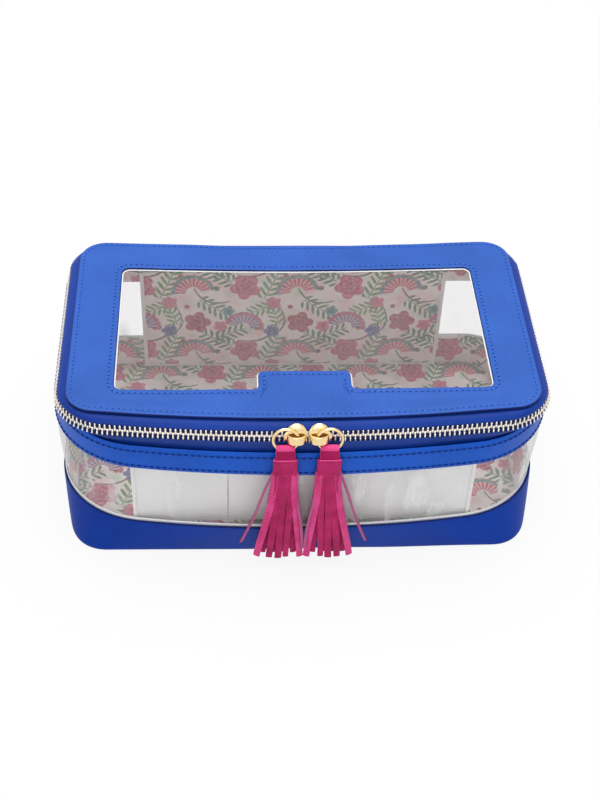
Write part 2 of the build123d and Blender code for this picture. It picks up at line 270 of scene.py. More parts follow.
# cloths, threads and edges: colour, darker colour, roughness and scale of their patches
clothTones = {
    "pinkEdge": ((250, 116, 182), (230, 76, 150), 0.7, 900),
    "pinkSuede": ((196, 110, 152), (156, 74, 116), 0.9, 900),
    "suedeEdge": ((160, 72, 116), (124, 48, 88), 0.9, 900),
    "reverse": ((246, 245, 245), (234, 233, 233), 0.7, 60),
    # one blue thread in two copies: lighter on the lid as a painted highlight, darker on the band as
    # painted shade
    "blueThread": ((66, 126, 228), (36, 86, 192), 0.6, 2500),
    "bandThread": ((8, 44, 132), (2, 30, 104), 0.6, 2500),
    "greyThread": ((190, 190, 190), (160, 160, 160), 0.7, 2500),
    # needle holes: flat discs painted dark, painted shade inside the holes
    "needleHole": ((8, 26, 84), (4, 16, 60), 0.9, 900),
    "greyHole": ((110, 110, 112), (90, 90, 92), 0.9, 900),
    "trim": ((250, 248, 246), (236, 233, 230), 0.6, 400),
    "greyBoard": ((120, 116, 110), (96, 92, 88), 0.85, 400),
}


def plainCloth(name, tone, dark, rough, scale):
    material, c, shader = newFinish(name, Specular_IOR_Level=0.25)
    patches = c.noise(c.coordinates("Object"), scale, 4)
    feed(patches.mix(tint(*dark), tint(*tone)), shader, "Base Color")
    feed(patches * 0.1 + (rough - 0.05), shader, "Roughness")
    feed(c.bump(patches, 0.0002, 0.3), shader, "Normal")
    return material


# clear plastics: colour, least alpha, depth of the wrinkles and strength of the painted glare
clearTones = {
    "clearWindow": ((204, 202, 204), 0.09, 0.003, 0.06),
    "clearWall": ((250, 250, 252), 0.09, 0.006, 0.75),
    # white strips that stand partly for a clear sheet's cut edge and partly for a painted highlight along
    # it
    "clearEdge": ((250, 251, 253), 0.92, 0.001, 0.0),
}


def clearSheet(name, tone, alpha, wrinkle, paintedGlareStrength):
    # painted highlights: streaks of white glare are painted into the sheet's alpha along its wrinkles, and
    # the sheet is painted whiter towards grazing angles as a painted reflection
    material, c, shader = newFinish(name, Base_Color=tint(*tone), Roughness=0.1, Specular_IOR_Level=0.6)
    spot = c.coordinates("Object")
    folds = c.noise(spot, 22, 2)
    tall = c.vector("MULTIPLY", spot, (1.0, 1.0, 0.25))
    paintedGlare = ((c.noise(tall, 85, 2) - 0.56) * 5).clamp() * (c.noise(spot, 14, 1) * 3 - 1.2).clamp()
    facing = c.node("ShaderNodeLayerWeight", None, {"Blend": 0.5}, output=1)
    feed(folds * 0.06 + paintedGlare * paintedGlareStrength + facing**4 * 0.5 + (alpha - 0.03), shader, "Alpha")
    feed(c.bump(folds + c.noise(tall, 70, 2) * 0.3, wrinkle, 0.6), shader, "Normal")
    return material


# the lining's repeated print: a motif is its kind, place, turn, size, ink and any second ink
printRepeat = (62, 50)
printMotifs = [
    ("branch", (24, 23), 32, 14, (92, 58, 50)),
    ("branch", (53, 2), -24, 12, (84, 56, 50)),
    ("branch", (36, 33), 70, 12, (96, 62, 52)),
    ("sprig", (29, 15), 66, 12, (84, 142, 66)),
    ("sprig", (3, 27), 24, 11, (60, 116, 66)),
    ("sprig", (31, 43), 108, 10, (104, 156, 82)),
    ("sprig", (57, 47), -34, 11, (66, 126, 78)),
    ("sprig", (24, 47), 204, 10, (92, 146, 74)),
    ("sprig", (58, 22), 150, 11, (58, 112, 70)),
    ("fan", (44, 9), 8, 13.5, (198, 34, 84), (64, 138, 138)),
    ("fan", (12, 32), -14, 12.5, (64, 98, 160), (200, 50, 96)),
    ("rosette", (13, 13), 10, 9.5, (226, 84, 132), (160, 14, 62)),
    ("rosette", (46, 36), 40, 8.5, (204, 40, 80), (132, 10, 40)),
    ("rosette", (30, 1), 0, 5.0, (236, 120, 158), (186, 44, 92)),
    ("blossom", (29, 29), 0, 5.2, (74, 90, 168), (40, 52, 120)),
    ("blossom", (60, 33), 20, 4.8, (230, 100, 146), (170, 30, 78)),
    ("blossom", (3, 45), 40, 4.2, (90, 160, 156), (44, 104, 112)),
    ("blossom", (37, 21), 0, 2.0, (186, 44, 62), (120, 24, 40)),
    ("blossom", (20, 31), 30, 1.8, (186, 44, 62), (120, 24, 40)),
    ("blossom", (58, 12), 0, 2.2, (92, 60, 64), (60, 40, 46)),
    ("blossom", (40, 48), 50, 2.0, (190, 52, 70), (120, 24, 40)),
]
fanPaper = (236, 178, 180)
washes = (((244, 204, 202), 85, 0.5), ((206, 224, 200), 110, 0.54))  # colour, scale, least noise
printTones = {"print": ((252, 248, 243), (243, 234, 227))}


def motifInk(c, kind, across, along, soft, ink, second):
    # where a motif's ink lies, and its colour there; soft is how sharp its edge is
    if kind in ("sprig", "branch"):
        if kind == "sprig":
            side = abs(along)
            step = c.maths("WRAP", across - side * 0.7 + 2, 0.36, 0.0) - 0.18
            leaf = 1 - step * step * 90 - (side - 0.26) * (side - 0.26) * 16
            stem = 1 - side * 26
            mask = c.maths("MAXIMUM", (leaf * soft * 0.2).clamp(), (stem * 2).clamp())
        else:
            mask = ((0.06 - abs(along - across * across * 0.5)) * soft).clamp()
        return mask * ((1 - abs(across)) * soft).clamp(), ink
    reach = c.maths("SQRT", across * across + along * along)
    angle = c.maths("ARCTAN2", along, across)
    if kind == "fan":
        rim = (abs(reach - 0.86) * -soft + soft * 0.09).clamp()
        folds = ((angle * 22).wave() * 3).clamp().mix(ink, tint(*fanPaper))
        mask = ((1 - reach) * soft).clamp() * ((reach - 0.3) * soft).clamp() * (along * soft).clamp()
        return mask, rim.mix(folds, second)
    petal = abs((angle * 2.5).wave())
    if kind == "rosette":
        rings = (reach * 17 + petal * 2.6).wave() * 0.5 + 0.5
        shade = (rings * 0.75 + reach * 0.5 - 0.15).clamp()
    else:
        shade = (reach * 1.5 - 0.25).clamp()
    return ((petal * 0.3 + 0.7 - reach) * soft).clamp(), shade.mix(second, ink)


def printField(c, ground):
    spot = c.coordinates("UV")
    colour = ground
    width, height = (side * mm / 2 for side in printRepeat)
    for kind, at, turn, size, *inks in printMotifs:
        away = c.vector("SUBTRACT", spot, (at[0] * mm, at[1] * mm, 0))
        local = c.vector("WRAP", away, (width, height, 1), (-width, -height, -1))
        x, y = cos(radians(turn)) / (size * mm), sin(radians(turn)) / (size * mm)
        across = c.vector("DOT_PRODUCT", local, (x, y, 0), output=1)
        along = c.vector("DOT_PRODUCT", local, (-y, x, 0), output=1)
        mask, ink = motifInk(c, kind, across, along, size * 3, tint(*inks[0]), tint(*inks[-1]))
        colour = mask.mix(colour, ink)
    return (c.noise(spot, 420, 3) * 0.8 - 0.3).clamp().mix(colour, ground)


def printed(name, ground, dark):
    material, c, shader = newFinish(name, Specular_IOR_Level=0.25)
    spot = c.coordinates("Object")
    patches = c.noise(spot, 35, 3)
    base = patches.mix(tint(*dark), tint(*ground))
    flat = c.coordinates("UV")
    for tone, scale, least in washes:
        base = ((c.noise(flat, scale, 2) - least) * 4).clamp().mix(base, tint(*tone))
    feed(printField(c, base), shader, "Base Color")
    feed(patches * 0.1 + 0.68, shader, "Roughness")
    feed(c.bump(c.noise(spot, 1800, 2), 0.0001, 0.25), shader, "Normal")
    return material


finishes = {}
for make, tones in (
    (leather, leatherTones), (metal, metalTones), (woven, weaveTones), (embossed, pinkTones),
    (plainCloth, clothTones), (clearSheet, clearTones), (printed, printTones),
):
    finishes.update({name: make(name, *look) for name, look in tones.items()})
print("materials made")


# tools for shaping
def pick(piece):
    for other in bpy.context.selected_objects:
        other.select_set(False)
    piece.select_set(True)
    bpy.context.view_layer.objects.active = piece


def shape(piece, kind, **settings):
    pick(piece)
    modifier = piece.modifiers.new(kind.title(), kind)
    for key, value in settings.items():
        setattr(modifier, key, value)
    bpy.ops.object.modifier_apply(modifier=modifier.name)
    return piece


def smooth(piece, angle=None):
    pick(piece)
    if angle:
        bpy.ops.object.shade_smooth_by_angle(angle=radians(angle))
    else:
        bpy.ops.object.shade_smooth()
    return piece


def thicken(piece, thickness, back=0, rim=0, offset=-1, soften=True, angle=None):
    # thickness in millimetres; back and rim are the looks of its reverse and its edges
    shape(piece, "SOLIDIFY", thickness=thickness * mm, offset=offset, material_offset=back,
          material_offset_rim=rim)
    if soften:
        shape(piece, "SUBSURF", levels=1, render_levels=1)
    return smooth(piece, angle)


def bendSheet(name, columns, rows, place, spread=None, closed=False):
    # a flat grid whose points go where place says; spread gives the pattern's coordinates
    bpy.ops.mesh.primitive_grid_add(x_subdivisions=columns, y_subdivisions=rows, size=1)
    piece = bpy.context.object
    piece.name = piece.data.name = name
    spots = [(v.co.x + 0.5, v.co.y + 0.5) for v in piece.data.vertices]
    for vertex, spot in zip(piece.data.vertices, spots):
        vertex.co = place(*spot)
    if spread:
        for corner in piece.data.uv_layers[0].data:
            corner.uv = spread(*corner.uv)
    if closed:
        pick(piece)
        bpy.ops.object.mode_set(mode="EDIT")
        bpy.ops.mesh.select_all(action="SELECT")
        bpy.ops.mesh.remove_doubles(threshold=0.000002)
        bpy.ops.object.mode_set(mode="OBJECT")
    return piece


def choose(piece, kind, test):
    # selects a piece's faces or edges by a test on each one, and stays in edit mode
    pick(piece)
    bpy.ops.object.mode_set(mode="EDIT")
    bpy.ops.mesh.select_mode(type=kind)
    bpy.ops.mesh.select_all(action="DESELECT")
    grown = bmesh.from_edit_mesh(piece.data)
    for part in grown.faces if kind == "FACE" else grown.edges:
        part.select = test(part)
    bmesh.update_edit_mesh(piece.data)


def dress(piece, body, *looks):
    piece.data.materials.clear()
    for look in looks:
        piece.data.materials.append(finishes[look])
    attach(piece, body)
    return piece


def repaint(piece, look, test):
    for face in piece.data.polygons:
        if test(face):
            face.material_index = look


def flatPattern(piece):
    # a pattern that lies straight on the piece as seen from above
    layer = piece.data.uv_layers[0]
    for loop in piece.data.loops:
        point = piece.data.vertices[loop.vertex_index].co
        layer.data[loop.index].uv = (point.x, point.y)
    return piece


def mirrorPiece(piece, name):
    twin = piece.copy()
    twin.data = piece.data.copy()
    twin.name = twin.data.name = name
    twin.data.transform(Matrix.Scale(-1, 4, (1, 0, 0)))
    twin.data.flip_normals()
    bpy.context.collection.objects.link(twin)
    return twin


def joinPieces(name, pieces):
    pick(pieces[0])
    for piece in pieces[1:]:
        piece.select_set(True)
    bpy.ops.object.join()
    joined = bpy.context.object
    joined.name = joined.data.name = name
    return joined


def copyAlong(name, pattern, places):
    # one mesh that holds a copy of the pattern at each place; the pattern itself goes
    grown = bmesh.new()
    for place in places:
        first = len(grown.verts)
        grown.from_mesh(pattern.data)
        grown.verts.ensure_lookup_table()
        bmesh.ops.transform(grown, matrix=place, verts=grown.verts[first:])
    mesh = bpy.data.meshes.new(name)
    grown.to_mesh(mesh)
    grown.free()
    piece = bpy.data.objects.new(name, mesh)
    bpy.context.collection.objects.link(piece)
    bpy.data.objects.remove(pattern, do_unlink=True)
    return piece


def stepAlong(points, pitch, closed=False):
    # evenly spaced places on a line, each with the way that the line runs
    ends = points[1:] + points[:1] if closed else points[1:]
    total = sum((b - a).length for a, b in zip(points, ends))
    step = total / round(total / pitch)
    places, walked, goal = [], 0.0, step / 2
    for a, b in zip(points, ends):
        length = (b - a).length
        while length and goal <= walked + length:
            places.append((a.lerp(b, (goal - walked) / length), (b - a).normalized()))
            goal += step
        walked += length
    return places


# the case's outline; front corners and side swell are pairs of a height and a size in millimetres
caseForm = {
    "halfWidth": 0.131,
    "halfDepth": 0.0778,
    "backCorner": 0.024,
    "frontCorners": ((0, 24), (25.4, 50), (85.4, 50), (90.8, 32), (96.46, 32), (100.86, 24), (200, 24)),
    "sideSwell": (
        (0, -1.2), (10, 0.6), (25.4, 2.6), (45, 3.8), (60, 3.6), (68.4, 1.4), (73, 0.4), (85.4, -0.5),
        (93.6, 1.0), (97, 0.8), (100.86, 0), (200, 0),
    ),
    "bow": 0.006,
    "footBow": 0.0004,
    "baseTop": 0.0254,
}
backHalf = caseForm["halfWidth"] - caseForm["backCorner"]
backY = caseForm["halfDepth"] - caseForm["backCorner"]
leftStart = backHalf + caseForm["backCorner"] * pi / 2


def atHeight(steps, height):
    for (low, before), (high, after) in zip(steps, steps[1:]):
        if height / mm <= high:
            return (before + (after - before) * (height / mm - low) / (high - low)) * mm


def outlineRuns(height):
    # lengths of a side, a front corner and half the front at a height, and the corner's radius
    corner = atHeight(caseForm["frontCorners"], height)
    side = backY + caseForm["halfDepth"] - corner
    return side, corner * pi / 2, caseForm["halfWidth"] - corner, corner


wholeRun = 2 * (leftStart + sum(outlineRuns(0.0)[:3]))


def rimPoint(along, inset, height):
    # along runs round the case from the middle of its back, down the left side and past the front
    along = along % wholeRun
    mirror = -1 if along <= wholeRun / 2 else 1
    along = min(along, wholeRun - along)
    side, turn, front, corner = outlineRuns(height)
    f = caseForm
    bow = f["footBow"] + (f["bow"] - f["footBow"]) * min(height / f["baseTop"], 1)
    frontY = corner - f["halfDepth"]
    if along > leftStart:
        stretch = (side + turn + front) / (wholeRun / 2 - leftStart)
        along = leftStart + (along - leftStart) * stretch
    radius = f["backCorner"]
    if along < backHalf:
        spot, angle = (along, backY), pi / 2
    elif along < leftStart:
        spot, angle = (backHalf, backY), pi / 2 - (along - backHalf) / radius
    elif along < leftStart + side:
        spot, angle, radius = (f["halfWidth"] - corner, backY - along + leftStart), 0, corner
    elif along < leftStart + side + turn:
        share = (along - leftStart - side) / turn
        spot, angle, radius = (front, frontY), -share * (pi / 2 - atan(2 * bow / front)), corner
    else:
        here = max(leftStart + side + turn + front - along, 0)
        spot = (here, frontY - bow * (1 - (here / front) ** 2))
        angle, radius = -pi / 2 + atan(2 * bow * here / front**2), corner
    out = Vector((mirror * cos(angle), sin(angle), 0))
    swell = atHeight(f["sideSwell"], height) * abs(out.x) ** 3
    return Vector((mirror * spot[0], spot[1], height)) + out * (radius - inset + swell), out


def uneven(point, scale, depth):
    return depth * noise.noise(point * scale)


# lid: its underside's height, how far its soft middle hangs, and where the tapes start to follow
lidForm = {
    "under": 100.86, "sagBack": 3.4, "sagFront": 0.5, "sagHalf": 118, "ripple": 0.35,
    "hangFrom": 96.1, "hangOver": 3.5,
}


def lidSag(x, y):
    back = min(max((y / caseForm["halfDepth"] + 1) / 2, 0), 1)
    middle = max(0, 1 - (x / mm / lidForm["sagHalf"]) ** 2) ** 1.5
    return middle * (lidForm["sagFront"] + (lidForm["sagBack"] - lidForm["sagFront"]) * back**1.5) * mm


def hang(point):
    share = min(max((point.z / mm - lidForm["hangFrom"]) / lidForm["hangOver"], 0), 1)
    point.z -= lidSag(point.x, point.y) * share
    return point


def stand(piece, slot, *nodes):
    # hides the nodes that a piece stands for; the slot is not used
    if nodes:
        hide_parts(*nodes)
    return piece


def wrapPiece(name, body, looks, slot, profile, thickness, swell, nodes=(), run=None, columns=264):
    # a sewn sheet that runs round the case, or along a run of it; the profile gives heights and
    # insets, in millimetres as the thickness and the swell are
    start, end = run or (0.0, wholeRun)
    rows = len(profile) - 1
    lengths = [0.0]
    for (z0, inset0), (z1, inset1) in zip(profile, profile[1:]):
        lengths.append(lengths[-1] + hypot(z1 - z0, inset1 - inset0) * mm)

    def place(u, v):
        height, inset = profile[round(v * rows)]
        point, out = rimPoint(start + (end - start) * u, inset * mm, height * mm)
        return hang(point + out * uneven(point, 22, swell * mm))

    def spread(u, v):
        return start + (end - start) * u, lengths[round(v * rows)]

    piece = bendSheet(name, columns, rows, place, spread, closed=not run)
    dress(piece, body, *looks)
    thicken(piece, thickness, back=len(looks) - 1, rim=len(looks) - 1)
    return stand(piece, slot, *nodes)


# case: bands, clear wall and linings
lining = {"slot": "printed_lining", "looks": ["reverse", "print"], "thickness": 0.6}
caseBands = [
    {
        "name": "baseBand", "nodes": ["base_wall"], "slot": "blue_leather", "looks": ["baseLeather"],
        "profile": [
            (0.0, 5.4), (0.02, 4.3), (0.4, 3.45), (1.4, 3.0), (4, 2.85), (10, 2.65), (16, 2.42),
            (21, 2.25), (24.2, 2.15), (25.1, 2.28), (25.4, 2.6),
        ],
        "thickness": 1.4, "swell": 0.4,
    },
    {
        "name": "stitchedBand", "nodes": ["upper_band"], "slot": "blue_leather", "looks": ["bandLeather"],
        "profile": [
            (68.4, 0.85), (68.65, 0.55), (69.6, 0.4), (72.5, 0.15), (77, -0.1), (81, -0.1),
            (83.8, 0.0), (85.1, 0.22), (85.4, 0.6),
        ],
        "thickness": 1.4, "swell": 0.3,
    },
    {
        "name": "clearWallSheet", "nodes": ["clear_wall"], "slot": "clear_plastic",
        "looks": ["clearWall"],
        "profile": [
            (20.4, 3.8), (25.4, 3.6), (27, 3.6), (34, 3.7), (47, 3.5), (59, 2.8), (67, 2.2), (68.4, 2.12),
            (73.4, 1.93),
        ],
        "thickness": 0.5, "swell": 0.5,
    },
    {
        "name": "baseLining", "nodes": ["base_wall_lining"], "swell": 0.2, **lining,
        "profile": [(1.6, 5.2), (6, 5.05), (14, 4.75), (22, 4.45), (24.8, 4.35), (25.3, 4.35)],
    },
    {
        "name": "bandLining", "nodes": ["upper_band_lining"], "swell": 0.1, **lining,
        "profile": [(68.5, 3.72), (69.2, 3.7), (74, 3.52), (79.4, 3.34), (79.9, 3.34)],
    },
    # the white line at the clear wall's foot: partly the sheet's hem, partly a painted highlight
    {
        "name": "wallHem", "slot": "clear_plastic", "looks": ["clearEdge"],
        "profile": [(23.4, 3.62), (25.2, 3.52), (26.0, 3.42), (26.5, 3.5)],
        "thickness": 0.6, "swell": 0.0,
    },
]
baseEdge = 24.75  # the base band's edge is painted dark from this height up, as edge paint and as painted shade
for band in caseBands:
    piece = wrapPiece(body="case", **band)
    if band["name"] == "baseBand":
        # the band's top edge takes the dark edge look: edge paint and painted shade
        piece.data.materials.append(finishes["edgePaint"])
        repaint(piece, 1, lambda face: face.center.z > baseEdge * mm)
print("case bands made")


def spreadFloor(name, looks, thickness, inset, height, wave):
    # a flat sheet with the case's outline
    def place(u, v):
        edge = rimPoint(u * wholeRun, inset * mm, height * mm)[0]
        point = Vector((edge.x * v, edge.y * v, height * mm))
        point.z += uneven(Vector((point.x, point.y, 0.3)), 30, wave * mm) * min(1, (1 - v) * 8)
        return point

    piece = flatPattern(bendSheet(name, 180, 8, place, closed=True))
    dress(piece, "case", *looks)
    return thicken(piece, thickness, back=len(looks) - 1, rim=len(looks) - 1, soften=False)


floorLining = spreadFloor("floorLining", ("reverse", "print"), 0.6, inset=6.1, height=3.98, wave=0.4)
stand(floorLining, "printed_lining", "floor_lining")
underside = spreadFloor("underside", ("baseLeather",), 1.4, inset=5.0, height=0.0, wave=0.0)
stand(underside, "blue_leather", "base_panel")

pocketForm = {"halfWidth": 90.5, "foot": 4.0, "top": 78.0, "line": 70.9, "bulge": 1.2, "crease": 0.6}


def pocketPiece(name, side, low, high, looks, columns, rows, thickness, lift=0.0, shift=(0, 0)):
    # a part of a pocket's face between two corners; side is -1 at the front, shift moves the print
    (x0, z0), (x1, z1) = low, high
    f = pocketForm

    def place(u, v):
        x, z = x0 + (x1 - x0) * u, z0 + (z1 - z0) * v
        across = (x / f["halfWidth"] + 1) / 2
        up = (z - f["foot"]) / (f["top"] - f["foot"])
        swell = f["bulge"] * sin(pi * across) * sin(pi * min(up * 1.1, 1))
        crease = uneven(Vector((across * 6, up * 3, side)), 1, f["crease"]) * min(1, up * 3)
        return Vector((x, side * (f["line"] - swell - abs(crease)) + 0.3 - lift, z)) * mm

    def spread(u, v):
        return (x0 + (x1 - x0) * u + shift[0]) * mm, (z0 + (z1 - z0) * v + shift[1]) * mm

    piece = dress(bendSheet(name, columns, rows, place, spread), "case", *looks)
    return thicken(piece, thickness, back=len(looks) - 1, offset=0, soften=False, angle=50)


for name, node, side, looks in (
    ("frontPocket", "front_pocket", -1, ("reverse", "print")),
    ("backPocket", "back_pocket", 1, ("print", "reverse")),
):
    pocket = pocketPiece(
        name, side, (-90.5, 4.0), (90.5, 78.0), looks, 60, 26, 0.8, shift=(103.5, -4.0)
    )
    stand(pocket, "printed_lining", node)

# bindings and a hem: side, two corners, look, and the columns and rows of their grid
pocketTrims = {
    "backBindingLeft": (1, (-90.5, 4.0), (-88.3, 78.0), ["trim"], 2, 24),
    "backBindingRight": (1, (88.3, 4.0), (90.5, 78.0), ["trim"], 2, 24),
    "backBindingFoot": (1, (-88.3, 4.2), (88.3, 5.6), ["trim"], 40, 2),
    "frontBindingLeft": (-1, (-90.5, 4.0), (-88.7, 78.0), ["trim"], 2, 24),
    "frontBindingRight": (-1, (88.7, 4.0), (90.5, 78.0), ["trim"], 2, 24),
    "frontHem": (-1, (-88.7, 18.0), (88.7, 20.2), ["print"], 40, 2),
}
for name, trim in pocketTrims.items():
    stand(pocketPiece(name, *trim, thickness=0.5, lift=1.1), "printed_lining")
print("linings made")

# the window's outline, and its sheet's half sizes, ripple and sink
windowForm = {
    "halfWidth": 97.7, "middle": -3.9, "halfDepth": 49.3, "corner": 4.5,
    "tabHalf": 24.0, "tabDepth": 13.7, "tabCorner": 3.0,
    "sheetWidth": 103.6, "sheetDepth": 55.2, "ripple": 0.9, "sink": 0.7, "edgeSink": 0.3,
}


def onLid(points, height, ripple=lidForm["ripple"]):
    # lays points on the lid, whose leather is a little uneven
    for point in points:
        point.z = height * mm - lidSag(point.x, point.y)
        point.z += uneven(Vector((point.x, point.y, 0.7)), 40, ripple * mm)
    return points


def windowLine(grow):
    # the window's outline grown by some millimetres: points, and where along the case each belongs
    f = windowForm
    back = f["middle"] + f["halfDepth"] + grow
    front = f["middle"] - f["halfDepth"] - grow
    corner = f["corner"] + grow
    wide = f["halfWidth"] + grow
    left = corner - wide
    tab = f["tabHalf"] - grow
    head = f["tabCorner"] - grow if grow < f["tabCorner"] - 0.5 else 0.5
    foot = f["tabCorner"] + grow
    tabTop = front + f["tabDepth"]
    # each run: its count of points, its ends, or its centre, radius and angles, and the case's part
    runs = [
        (22, (0, back), (left, back), (0, 107)),
        (10, (left, back - corner, corner, 90, 180), None, (107, 144.7)),
        (22, (-wide, back - corner), (-wide, front + corner), (144.7, 252.3)),
        (10, (left, front + corner, corner, 180, 270), None, (252.3, 290)),
        (16, (left, front), (-tab - foot, front), (290, 366)),
        (5, (-tab - foot, front + foot, foot, 270, 360), None, (366, 370)),
        (5, (-tab, front + foot), (-tab, tabTop - head), (370, 373)),
        (5, (-tab + head, tabTop - head, head, 180, 90), None, (373, 376)),
        (12, (-tab + head, tabTop), (0, tabTop), (376, 397)),
    ]
    half = []
    for count, start, end, outer in runs:
        for n in range(count):
            share = n / count
            if end:
                x, y = (a + (b - a) * share for a, b in zip(start, end))
            else:
                angle = radians(start[3] + (start[4] - start[3]) * share)
                x, y = start[0] + start[2] * cos(angle), start[1] + start[2] * sin(angle)
            half.append((x * mm, y * mm, (outer[0] + (outer[1] - outer[0]) * share) * mm))
    half.append((0.0, tabTop * mm, wholeRun / 2))
    whole = half + [(-x, y, wholeRun - place) for x, y, place in half[-2:0:-1]]
    return [Vector((x, y, 0)) for x, y, _ in whole], [place for _, _, place in whole]


framePlaces = windowLine(0)[1]
frameColumns = len(framePlaces)


def lidLine(kind, reach):
    # a line round the lid at a reach from its edge, or from the window's edge, or between the two
    if kind == "window":
        return windowLine(reach)[0]
    if kind == "across":
        return [a.lerp(b, reach) for a, b in zip(lidLine("outer", 15.0), lidLine("window", 5.0))]
    return [rimPoint(p, reach * mm, lidForm["under"] * mm)[0] for p in framePlaces]


def lidSheet(name, looks, lines, ripple=0.0):
    # a strip between two lines on the lid; lines are a kind and pairs of a reach and a height
    made = [onLid(lidLine(kind, reach), height, ripple) for kind, *row in lines for reach, height in row]
    last = len(made) - 1
    piece = bendSheet(
        name, frameColumns, last,
        lambda u, v: made[round(v * last)][round(u * frameColumns) % frameColumns], closed=True,
    )
    return dress(piece, "lid", *looks)


# lid's leather frame: rows run from its outer edge to the window's; both edges are painted dark, as edge
# paint and as painted shade along them
frameLines = [
    ("outer", (9.0, 100.36), (9.02, 101.46), (9.25, 102.06), (9.9, 102.26), (11.2, 102.28),
     (12.0, 102.1), (12.9, 102.24), (15.0, 102.31)),
    ("across", (0.25, 102.16), (0.5, 102.04), (0.75, 102.11)),
    ("window", (5.0, 102.26), (3.9, 102.28), (3.0, 102.12), (2.2, 102.3), (0.9, 102.29),
     (0.25, 102.08), (0.02, 101.56), (0.0, 100.91)),
]
frameCount = sum(len(row) - 1 for row in frameLines)
lidFrame = lidSheet("lidFrame", ("lidLeather", "edgePaint"), frameLines, lidForm["ripple"])
corners = lidFrame.data.uv_layers[0].data


def isEdge(face):
    row = sum(corners[n].uv[1] for n in face.loop_indices) / 4 * (frameCount - 1)
    return row < 1.8 or row > frameCount - 3.2


repaint(lidFrame, 1, isEdge)
stand(thicken(lidFrame, 0.9), "blue_leather", "lid_frame")

lidLining = flatPattern(lidSheet("lidLining", ("reverse", "print"), [
    ("outer", (11.6, 100.25), (15.0, 100.2)), ("window", (6.0, 100.2), (1.0, 100.25)),
]))
thicken(lidLining, 0.5, back=1, rim=1, soften=False)
stand(lidLining, "printed_lining", "lid_lining")

# a white line just inside the window's edge: partly the sheet's cut edge, partly a painted highlight
windowRim = lidSheet("windowRim", ["clearEdge"], [
    ("window", (0.35, 100.97), (0.0, 101.15), (-0.4, 101.1), (-0.7, 100.93)),
])
stand(thicken(windowRim, 0.3, soften=False), "clear_plastic")


def windowPlace(u, v):
    f = windowForm
    x, y = (2 * u - 1) * f["sheetWidth"], (2 * v - 1) * f["sheetDepth"]
    inside = max(0, 1 - (x / f["halfWidth"]) ** 2) * max(0, 1 - (y / f["halfDepth"]) ** 2)
    point = Vector((x, y + f["middle"], 100)) * mm
    ripple = uneven(point, 26, f["ripple"]) - f["edgeSink"]
    rise = lidForm["under"] - f["sink"] * inside + ripple * min(1, inside * 3)
    point.z = rise * mm - lidSag(point.x, point.y)
    return point


windowSheet = dress(bendSheet("windowSheet", 90, 50, windowPlace), "lid", "clearWindow")
stand(thicken(windowSheet, 0.4, soften=False), "clear_plastic", "lid_window")
print("lid made")

# zip tapes, between the back corners
tapeStart, tapeEnd = leftStart - 0.001, wholeRun - leftStart + 0.001
tapes = [
    {
        "name": "lowerTape", "nodes": ["lower_zip_tape"], "body": "case", "thickness": 0.8,
        "looks": ["tapeLeather"],
        "profile": [
            (80.0, 1.75), (82, 1.9), (85.4, 2.25), (87.5, 2.3), (89.4, 2.5), (90.4, 2.8), (90.75, 3.2),
        ],
    },
    {
        "name": "lowerCloth", "body": "case", "thickness": 0.6, "looks": ["zipCloth"],
        "profile": [(88.6, 3.2), (90.8, 3.6), (91.9, 3.85), (93.2, 4.2)],
    },
    {
        "name": "upperTape", "nodes": ["upper_zip_tape"], "body": "lid", "thickness": 0.9,
        "looks": ["rimLeather"],
        "profile": [
            (96.46, 4.9), (96.75, 4.5), (97.6, 4.8), (99.0, 6.2), (99.8, 7.9), (100.1, 9.2), (100.2, 11.4),
        ],
    },
    {
        "name": "upperCloth", "body": "lid", "thickness": 0.5, "looks": ["zipCloth"],
        "profile": [(94.05, 4.4), (95.4, 4.75), (97.4, 5.8), (98.6, 7.0)],
    },
]
for tape in tapes:
    wrapPiece(slot="zip_tape", swell=0.2, run=(tapeStart, tapeEnd), columns=200, **tape)

# the strip folds along the back; round the corners it parts into a lower and an upper piece
stripForm = {
    "lower": [(80.0, 1.7), (82.5, 1.72), (85.6, 2.0), (88.4, 2.75), (90.8, 3.2), (92.6, 3.5)],
    "upper": [(94.6, 3.95), (96.2, 5.0), (98.2, 6.6), (99.8, 8.2), (100.1, 9.6), (100.2, 11.4)],
    "fold": (93.6, 3.6), "lowerEnd": (93.9, 3.66), "upperEnd": (93.3, 3.75),
    "foldEnd": backHalf + 0.006, "overlap": 0.0005,
}
stripLook = {"looks": ["rimLeather"], "slot": "blue_leather", "thickness": 1.2, "swell": 0.3}
foldEnd = stripForm["foldEnd"]
lower, upper = stripForm["lower"], stripForm["upper"]
backStrip = wrapPiece(
    "backStrip", "case", profile=[*lower, stripForm["fold"], *upper], run=(-foldEnd, foldEnd),
    columns=120, nodes=["back_hinge_strip", "lid_back_band"], **stripLook,
)
backStrip.parent = None
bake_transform(backStrip)
near = foldEnd - stripForm["overlap"]
for side, run in (("Left", (near, tapeStart)), ("Right", (-tapeStart, -near))):
    for name, body, profile in (
        ("stripLower", "case", [*lower, stripForm["lowerEnd"]]),
        ("stripUpper", "lid", [stripForm["upperEnd"], *upper]),
    ):
        wrapPiece(name + side, body, profile=profile, run=run, columns=24, **stripLook)
print("zip tapes made")

# zip teeth: each block of a tooth has a look, a size and the height of its middle
toothForm = {
    "pitch": 2.54,
    # the tail block's near-white look is a painted highlight; the middle has the teeth's gold
    "blocks": (("toothTail", (0.92, 1.9, 1.7), 2.15), ("toothGold", (1.1, 1.4, 1.8), 0.45)),
}
zipForm = {"inset": 4.25, "height": 93.63, "gap": 1.8, "lean": radians(15), "steps": 600}
zipStart = leftStart + zipForm["gap"] * mm
lean = zipForm["lean"]


def sizedAt(size, middle):
    return Matrix.Translation(Vector(middle) * mm) @ Matrix.Diagonal((*(Vector(size) * mm), 1))


